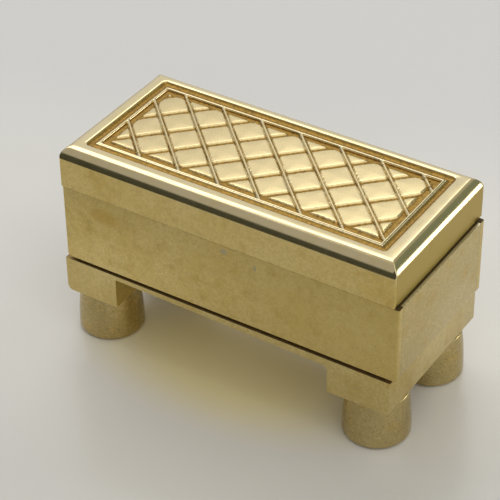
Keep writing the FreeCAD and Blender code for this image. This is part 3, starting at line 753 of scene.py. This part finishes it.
def plain_brass(name, bright=PALE, mid=GOLD, rough=0.27, grain=0.0016):
    """Satin brass: clouds of colour, faint stains, fine grain and polishing lines."""
    n = Look(name)
    clouds = n.noise(0.1, 4.0, 0.6, shift=1.3)
    stains = n.noise(0.42, 3.0, 0.55, shift=4.7)
    fine = n.noise(2.6, 2.0, 0.5, shift=2.1)
    lines = n.noise(1.0, 1.0, 0.5, n.scaled(n.mm, (0.2, 4.0, 4.0)), 6.0)
    colour = n.mix(n.ramp(clouds, 0.35, 0.68), bright, mid)
    colour = n.mix(n.ramp(stains, 0.5, 0.78, 0.0, 0.75), colour, AMBER)
    colour = n.mix(n.ramp(fine, 0.46, 0.64, 0.0, 0.34), colour, OLIVE)
    colour = n.mix(n.ramp(fine, 0.48, 0.34, 0.0, 0.25), colour, WORN)
    n.set("Base Color", colour)
    n.set("Roughness", n.math("MULTIPLY_ADD", stains, 0.16, rough - 0.08))
    height = n.math("MULTIPLY", fine, grain * 0.6)
    height = n.math("ADD", height, n.math("MULTIPLY", lines, grain * 0.5))
    n.set("Normal", n.bump(height))
    n.set("Metallic", 1.0)
    return n


def ledge_shade_and_highlight(n, above_mm, within_mm=100.0, darkening=LEDGE_SHADE):
    """The same brass with painted shade on its level ledges above the given height, as far out from
    the middle as given; beyond that the ledge is rubbed bright, worn and with a painted highlight."""
    level = n.ramp(n.split(n.place.outputs["Normal"])["Z"], 0.25, 0.7)
    point = n.split(n.mm)
    level = n.math("MULTIPLY", level, n.ramp(point["Z"], above_mm - 0.3, above_mm))
    # rubbed bright on level ledges: wear with a painted highlight
    colour = n.mix(level, n.now("Base Color"), RUBBED_HIGHLIGHT)
    out = n.math("ABSOLUTE", point["X"])
    level = n.math("MULTIPLY", level, n.ramp(out, within_mm + 0.08, within_mm - 0.08))
    # painted shade on the level ledges within reach, where the lid or the box sits over them
    n.set("Base Color", n.mix(n.math("MULTIPLY", level, 0.95), colour, darkening))
    n.set("Roughness", n.math("ADD", n.now("Roughness"), n.math("MULTIPLY", level, 0.3)))
    return n.material


def front_brass():
    """The long plates: mottled, duller to the right, with an amber patch and two grey spots."""
    n = plain_brass("plate_brass_look")
    duller = n.ramp(n.split(n.mm)["X"], -12.0, 20.0, 0.0, 0.5)
    colour = n.mix(duller, n.now("Base Color"), FRONT_DULL)
    mottle = n.noise(0.75, 5.0, 0.62, shift=21.0)
    colour = n.mix(n.ramp(mottle, 0.5, 0.72, 0.0, 0.34), colour, FRONT_DARK)
    colour = n.mix(n.ramp(mottle, 0.46, 0.3, 0.0, 0.3), colour, FRONT_LIGHT)
    for where, reach, tint, most in FRONT_SPOTS:
        middle = (where[0] / reach[0], 0.0, where[1] / reach[1])
        far = n.vector("DISTANCE", n.scaled(n.mm, (1 / reach[0], 0.0, 1 / reach[1])), middle)
        far = n.math("ADD", far, n.math("MULTIPLY", mottle, 0.9))
        colour = n.mix(n.ramp(far, 1.25, 0.75, 0.0, most), colour, tint)
    n.set("Base Color", colour)
    return ledge_shade_and_highlight(n, BOX_LEDGE)


def lid_brass():
    """The lid's polished brass: bright on the rim, satin on the pillows with painted shade darker
    towards the left, brown in the grooves, and painted shade darkening the right end face."""
    n = plain_brass("polished_lid", rough=0.15, grain=0.0006)
    depth, hidden, quilt, crown = (
        n.attribute(name) for name in ("depth", "hidden", "quilt", "crown")
    )
    patches = n.noise(0.5, 4.0, 0.6, shift=11.0)
    polished = n.mix(n.ramp(patches, 0.4, 0.75, 0.0, 0.6), WORN, RIM_DULL)
    # painted shade: the pillows darker towards the left, lighter towards the right
    satin_with_shading = n.mix(n.ramp(n.split(n.mm)["X"], -22.0, 8.0), SATIN_SHADED_LEFT, SATIN_LIT_RIGHT)
    polished = n.mix(n.math("MULTIPLY", quilt, 0.85), polished, satin_with_shading)
    colour = n.mix(n.math("MULTIPLY", crown, 0.92), n.now("Base Color"), polished)
    # painted shade on the lid's right end face, the one that faces +X
    shaded_end_face = n.ramp(n.split(n.place.outputs["Normal"])["X"], 0.93, 0.985)
    colour = n.mix(n.math("MULTIPLY", shaded_end_face, 0.95), colour, LID_END_SHADE)
    deep = n.ramp(depth, 0.42, 0.93)
    darkening = n.noise(2.2, 3.0, 0.6, shift=14.0)
    brown = n.mix(n.ramp(darkening, 0.42, 0.66), GROOVE_BROWN, GROOVE_DARK)
    colour = n.mix(n.math("MULTIPLY", deep, 0.97), colour, brown)
    n.set("Base Color", n.mix(n.math("MULTIPLY", hidden, 0.5), colour, OLIVE))
    rough = n.now("Roughness")
    for part, more in ((quilt, 0.12), (deep, 0.3), (hidden, 0.15), (shaded_end_face, 0.2)):
        rough = n.math("ADD", rough, n.math("MULTIPLY", part, more))
    n.set("Roughness", rough)
    grain = n.noise(3.0, 1.0, 0.5, shift=9.0)
    height = n.math("MULTIPLY", n.math("MULTIPLY", grain, quilt), 0.0006)
    n.set("Normal", n.bump(height, n.now("Normal")))
    return n.material


def foot_brass():
    """Browner brass with marks round the foot from turning, and small pits."""
    n = plain_brass("foot_brass_look", bright=(0.53, 0.42, 0.2), mid=(0.43, 0.335, 0.14), rough=0.2)
    brushed = n.noise(1.0, 4.0, 0.65, n.scaled(n.mm, (0.5, 0.5, 4.5)), 3.0)
    pits = n.noise(3.4, 3.0, 0.6, shift=7.7)
    colour = n.mix(n.ramp(brushed, 0.5, 0.75, 0.0, 0.22), n.now("Base Color"), BRUSHED)
    n.set("Base Color", n.mix(n.ramp(pits, 0.54, 0.68, 0.0, 0.65), colour, UMBER))
    n.set("Roughness", n.math("ADD", n.now("Roughness"), n.math("MULTIPLY", brushed, 0.12)))
    height = n.math("MULTIPLY", brushed, 0.004)
    height = n.math("ADD", height, n.ramp(pits, 0.6, 0.75, 0.0, -0.012))
    n.set("Normal", n.bump(height, n.now("Normal")))
    return n.material


# ---------------------------------------------------------------- build the pieces

LID = make_lid()
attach(LID, "lid")
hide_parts("lid_casting")
LID.data.materials.append(lid_brass())

FRONT_LOOK = front_brass()
END_BRASS = plain_brass("end_brass_look", bright=(0.62, 0.5, 0.25), mid=(0.56, 0.435, 0.18))
# painted shade on the end plates' top ledges under the lid, and a rubbed edge with a painted highlight
# beyond the lid's end
END_LOOK = ledge_shade_and_highlight(END_BRASS, BOX_LEDGE, END_SHADE_REACH)
BASE_BRASS = plain_brass(
    "base_brass_look", bright=(0.68, 0.55, 0.24), mid=(0.61, 0.465, 0.165), rough=0.3
)
# painted shade on the base's top, under the box
BASE_LOOK = ledge_shade_and_highlight(BASE_BRASS, BASE_LEDGE, darkening=BASE_LEDGE_SHADE)
FOOT_LOOK = foot_brass()
INNER_LOOK = plain_brass(
    "inner_brass_look", bright=(0.74, 0.58, 0.28), mid=(0.64, 0.47, 0.2), rough=0.36
).material
FITTING_LOOK = plain_brass(
    "fitting_brass_look", bright=(0.8, 0.63, 0.3), mid=(0.72, 0.53, 0.22), rough=0.22
).material


def on_face(axis, value):
    """True for edges that lie in the plane and aren't upright."""

    def test(a, b):
        level = abs(a[axis] - value) < 0.01 and abs(b[axis] - value) < 0.01
        return level and abs(a[2] - b[2]) < 0.9 * (a - b).length

    return test


for name, node, axis, end, edge_round, look in (
    ("front_plate", "front_wall", 1, 0, 0.05, FRONT_LOOK),
    ("back_plate", "back_wall", 1, 1, 0.05, FRONT_LOOK),
    ("left_end_plate", "left_end_wall", 0, 0, 0.04, END_LOOK),
    ("right_end_plate", "right_end_wall", 0, 1, 0.04, END_LOOK),
):
    plate = softened(name, node, edge_round, on_face(axis, box_mm(node)[end][axis]))
    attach(plate, "case")
    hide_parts(node)
    plate.data.materials.append(look)

BASE_NODES = ("base_block_left", "base_block_right", "base_band")
BASE_LEFT, BASE_RIGHT = (box_mm(node) for node in BASE_NODES[:2])
BASE_LOW = BASE_LEFT[0]
BASE_HIGH = BASE_RIGHT[1]
BAND_LEFT = 0.77  # thickness of the band at the left and right
BAND_RIGHT = 1.32
NOTCH_CURVE = 0.8  # in the notch's upper right corner
NOTCH_EASE = 0.12  # in its upper left corner
CORNER_LEFT = 0.9  # the base's lower corners
CORNER_RIGHT = 0.5
BASE_WEAR = 0.09
ARC_STEPS = 8


def arc(centre, radius, start_deg, end_deg):
    """Points of an arc in the X-Z plane."""
    turns = np.radians(np.linspace(start_deg, end_deg, ARC_STEPS + 1))
    return [(centre[0] + radius * math.cos(t), centre[1] + radius * math.sin(t)) for t in turns]


def base_outline():
    """The base seen from the front: two blocks joined by a band that thickens to the right."""
    left, right = BASE_LOW[0], BASE_HIGH[0]
    low, high = BASE_LOW[2], BASE_HIGH[2]
    notch_left, notch_right = BASE_LEFT[1][0], BASE_RIGHT[0][0]
    under_left, under_right = high - BAND_LEFT, high - BAND_RIGHT
    points = arc((left + CORNER_LEFT, low + CORNER_LEFT), CORNER_LEFT, 180, 270)
    points += [(notch_left - 0.1, low), (notch_left, low + 0.1)]
    points += [(notch_left, under_left - NOTCH_EASE), (notch_left + NOTCH_EASE, under_left)]
    curve_centre = (notch_right - NOTCH_CURVE, under_right - NOTCH_CURVE)
    points += arc(curve_centre, NOTCH_CURVE, 90, 0)
    points += [(notch_right, low + 0.1), (notch_right + 0.1, low)]
    points += arc((right - CORNER_RIGHT, low + CORNER_RIGHT), CORNER_RIGHT, 270, 360)
    return points + [(right, high - 0.08), (left, high)]


def make_base():
    """The base as one piece, its front and back edges softened by wear."""
    outline = base_outline()
    count = len(outline)
    front, back = BASE_LOW[1], BASE_HIGH[1]
    points = [(x, y, z) for y in (front, back) for x, z in outline]
    faces = [tuple(range(count)), tuple(reversed(range(count, 2 * count)))]
    faces += [
        (k, count + k, count + (k + 1) % count, (k + 1) % count) for k in range(count)
    ]
    mesh = mesh_from("base_bridge", points, faces)
    work = bmesh.new()
    work.from_mesh(mesh)
    bmesh.ops.recalc_face_normals(work, faces=work.faces)
    rims = [
        e
        for e in work.edges
        if abs(e.verts[0].co.y - e.verts[1].co.y) < 1e-6
        and min(e.verts[0].co.z, e.verts[1].co.z) < (BASE_HIGH[2] - 0.1) * MM
    ]
    bmesh.ops.bevel(
        work,
        geom=rims,
        offset=BASE_WEAR * MM,
        offset_type="OFFSET",
        segments=BEVEL_SEGMENTS,
        profile=0.5,
        affect="EDGES",
        clamp_overlap=True,
    )
    work.to_mesh(mesh)
    work.free()
    smooth(mesh, 28)
    return link("base_bridge", mesh)


BASE = make_base()
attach(BASE, "case")
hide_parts(*BASE_NODES)
BASE.data.materials.append(BASE_LOOK)

for node in ("foot_front_left", "foot_front_right", "foot_back_left", "foot_back_right"):
    low, high = box_mm(node)
    centre = (low + high) / 2
    radius = (high[0] - low[0]) / 2
    profile = foot_profile(BASE_LOW[2], FOOT_TOP, radius - FOOT_RADIUS_TRIM, high[2])
    foot = lathe(node.replace("foot_", "turned_foot_"), profile, centre)
    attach(foot, "case")
    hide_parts(node)
    foot.data.materials.append(FOOT_LOOK)

INNER_NODES = ("floor_plate", "liner_front", "liner_left", "liner_right")
for name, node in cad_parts.items():
    if node.hide_render:
        continue
    node.data.materials.clear()
    node.data.materials.append(INNER_LOOK if name in INNER_NODES else FITTING_LOOK)


# ---------------------------------------------------------------- floor, light and camera


FLOOR_TONES = ((0.795, 0.775, 0.72), (0.765, 0.745, 0.69))
# painted shade: the floor darker towards the front and towards the far side
FLOOR_NEAR_SHADE = (0.58, 0.565, 0.515)
FLOOR_FAR_SHADE = (0.71, 0.695, 0.665)
FLOOR_WARM_REFLECTION = (0.78, 0.68, 0.36)
WARM_REFLECTION_MIDDLE = (-2.0, -7.0)  # of the painted warm reflection and bounce light of the brass under the box
WARM_REFLECTION_REACH = (19.0, 10.0)
FLOOR_HALF = 3000.0


def floor_material():
    """A pale, slightly glossy table top, with painted shade making it darker in front and at the far
    side, and a painted warm reflection and bounce light of the brass under the box.
    """
    n = Look("table_top")
    broad = n.noise(0.02, 3.0, shift=1.0)
    colour = n.mix(n.ramp(broad, 0.3, 0.7), *FLOOR_TONES)
    point = n.split(n.mm)
    across = n.math("ADD", n.math("MULTIPLY", point["X"], -0.35), point["Y"])
    # painted shade: darker towards the front, then towards the far side
    colour = n.mix(n.ramp(across, 12.0, -42.0, 0.0, 0.85), colour, FLOOR_NEAR_SHADE)
    colour = n.mix(n.ramp(across, 35.0, 80.0), colour, FLOOR_FAR_SHADE)
    # painted reflection and bounce light of the brass, a warm patch under and in front of the box
    middle = (WARM_REFLECTION_MIDDLE[0] / WARM_REFLECTION_REACH[0], WARM_REFLECTION_MIDDLE[1] / WARM_REFLECTION_REACH[1], 0.0)
    far = n.vector("DISTANCE", n.scaled(n.mm, (1 / WARM_REFLECTION_REACH[0], 1 / WARM_REFLECTION_REACH[1], 0.0)), middle)
    n.set("Base Color", n.mix(n.ramp(far, 1.6, 0.5, 0.0, 0.95), colour, FLOOR_WARM_REFLECTION))
    n.set("Roughness", n.ramp(n.noise(0.6, 4.0), 0.3, 0.7, 0.2, 0.27))
    n.set("Normal", n.bump(n.math("MULTIPLY", n.noise(0.25, 3.0), 0.02)))
    n.set("IOR", 1.5)
    return n.material


def make_floor():
    """The table top, level with the bottom of the feet."""
    size = FLOOR_HALF
    points = [(-size, -size, 0), (size, -size, 0), (size, size, 0), (-size, size, 0)]
    floor = link("floor", mesh_from("floor", points, [(0, 1, 2, 3)]))
    floor.data.materials.append(floor_material())


def direction(azimuth, elevation):
    """Unit vector; azimuth 0 is +Y, 90 is +X."""
    a, e = math.radians(azimuth), math.radians(elevation)
    return (math.sin(a) * math.cos(e), math.cos(a) * math.cos(e), math.sin(e))


LOW_ROOM = (0.34, 0.335, 0.32)
HIGH_ROOM = (0.42, 0.42, 0.43)
# Round glows: azimuth, elevation, full within, gone beyond (degrees), colour
GLOWS = (
    (105, 50, 25, 60, (1.15, 1.14, 1.1)),
    (-35, 32, 15, 40, (0.74, 0.76, 0.8)),
)
# Four-sided panes: azimuths and elevations where each begins, is full, is full still and ends
PANES = (
    ((-14, -8, 12, 20), (20, 28, 56, 64), (0.4, 0.4, 0.37)),
    ((8, 18, 56, 62), (7, 11, 44, 52), (0.2, 0.235, 0.19)),
    ((35, 41, 54, 60), (-12, -6, 11, 16), (4.6, 4.6, 4.5)),
    ((-180, -175, -100, -85), (-30, -25, 14, 20), (0.06, 0.068, 0.056)),
    ((-112, -96, -34, -29), (39, 47, 60, 66), (2.3, 2.3, 2.35)),
    ((-34, -29, -13, -9), (35, 43, 60, 66), (2.3, 2.3, 2.35)),
)


def make_world():
    """The light: a soft gradient, two glows, and bright and dark panes for the polished edges
    to mirror."""
    world = bpy.data.worlds.new("room")
    world.use_nodes = True
    bpy.context.scene.world = world
    n = Nodes(world.node_tree)
    background = n.tree.nodes["Background"]
    ray = n.place.outputs["Generated"]
    part = n.split(ray)
    to_degrees = 180 / math.pi
    rise = n.math("MULTIPLY", n.math("ARCSINE", part["Z"]), to_degrees)
    round_about = n.math("MULTIPLY", n.math("ARCTAN2", part["X"], part["Y"]), to_degrees)
    colour = n.mix(n.ramp(part["Z"], 0.05, 0.25), LOW_ROOM, HIGH_ROOM)
    for azimuth, elevation, inner, outer, tint in GLOWS:
        near = n.vector("DOT_PRODUCT", ray, direction(azimuth, elevation))
        bounds = math.cos(math.radians(outer)), math.cos(math.radians(inner))
        colour = n.mix(n.ramp(near, *bounds), colour, tint)
    for across, above, tint in PANES:
        share = 1.0
        for value, (start, full, last, end) in ((round_about, across), (rise, above)):
            share = n.math("MULTIPLY", n.ramp(value, start, full), share)
            share = n.math("MULTIPLY", n.ramp(value, last, end, 1.0, 0.0), share)
        colour = n.mix(share, colour, tint)
    n.put(background.inputs["Color"], colour)
    background.inputs["Strength"].default_value = 1.0


CARD_REACH = 112.0  # from the middle of the object
CARD_HALF = 70.0
CARD_HEIGHT = 58.0
CARD_TONES = ((0.075, 0.082, 0.066), (0.06, 0.066, 0.055))


def make_card():
    """A dark card that stands to the front left. Only reflections in the brass show it."""
    out = np.array(direction(-147, 0)) * CARD_REACH
    side = np.array(direction(-57, 0)) * CARD_HALF
    corners = [out - side, out + side, out + side, out - side]
    points = [corner + (0, 0, CARD_HEIGHT * (k > 1)) for k, corner in enumerate(corners)]
    card = link("dark_card", mesh_from("dark_card", points, [(0, 1, 2, 3)]))
    look = Look("card_cloth")
    weave = look.ramp(look.noise(0.8, 3.0), 0.3, 0.7)
    look.set("Base Color", look.mix(weave, *CARD_TONES))
    look.set("Roughness", 0.9)
    card.data.materials.append(look.material)
    card.visible_camera = False
    card.visible_diffuse = False
    card.visible_shadow = False


CAMERA_PLACE = (0.1202944, -0.1900164, 0.1836983)  # metres
CAMERA_TURN = (33.033, 36.481, -0.786)  # azimuth, elevation and roll in degrees
CAMERA_LENS = 139.99


def make_camera():
    """A long lens from the front right, above."""
    azimuth, elevation, roll = (math.radians(angle) for angle in CAMERA_TURN)
    forward = Vector((
        -math.sin(azimuth) * math.cos(elevation),
        math.cos(azimuth) * math.cos(elevation),
        -math.sin(elevation),
    ))
    level = forward.cross(Vector((0, 0, 1))).normalized()
    above = level.cross(forward)
    right = level * math.cos(roll) + above * math.sin(roll)
    upward = right.cross(forward)
    data = bpy.data.cameras.new("camera")
    data.lens = CAMERA_LENS
    data.sensor_width = 36.0
    data.clip_start = 0.01
    data.clip_end = 20.0
    camera = bpy.data.objects.new("camera", data)
    bpy.context.scene.collection.objects.link(camera)
    turned = Matrix((right, upward, -forward)).transposed().to_4x4()
    camera.matrix_world = Matrix.Translation(CAMERA_PLACE) @ turned
    bpy.context.scene.camera = camera


make_floor()
make_card()
make_world()
make_camera()
bpy.context.scene.view_settings.view_transform = "Standard"
